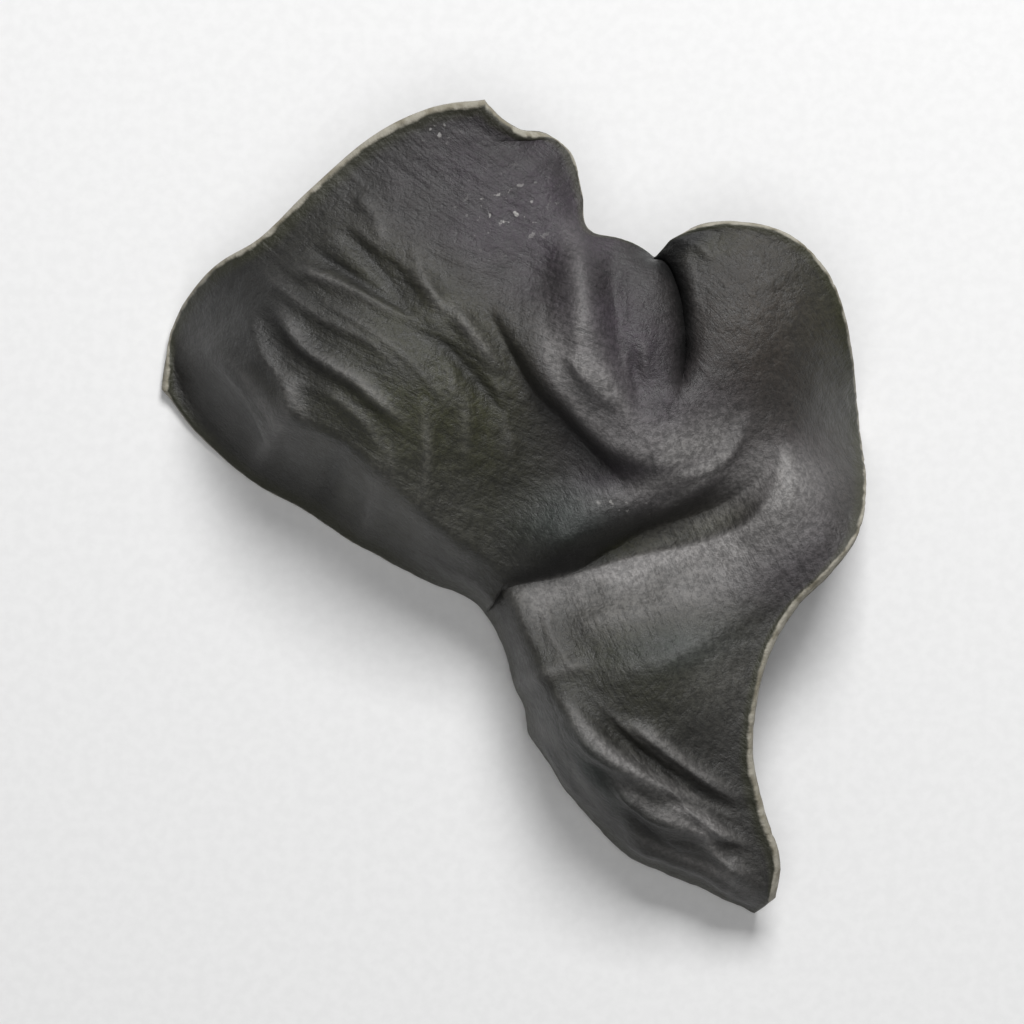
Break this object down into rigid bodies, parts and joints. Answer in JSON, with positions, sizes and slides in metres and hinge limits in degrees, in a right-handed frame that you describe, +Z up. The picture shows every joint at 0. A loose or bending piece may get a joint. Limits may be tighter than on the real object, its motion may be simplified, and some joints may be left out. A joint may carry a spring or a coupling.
{
  "type": "dried kelp sheet",
  "caption": "Torn piece of dried kelp blade, a thin leathery sheet cupped into two lobes with folds, wrinkles, a slit at the top edge and a narrow tip.",
  "frame": {"origin": "middle of the sheet's box seen from above, on the surface it rests on", "axes": "+Z up from the surface it rests on, +Y from the narrow tip towards the wide lobes, +X to the right seen from above with the tip towards the viewer"},
  "size_m": [0.0688, 0.0788, 0.022],
  "materials": {
    "kelp": "satin, dark olive to charcoal, with a pale torn edge"
  },
  "bodies": {
    "root": {"kelp_sheet": "kelp"}
  },
  "joints": []
}
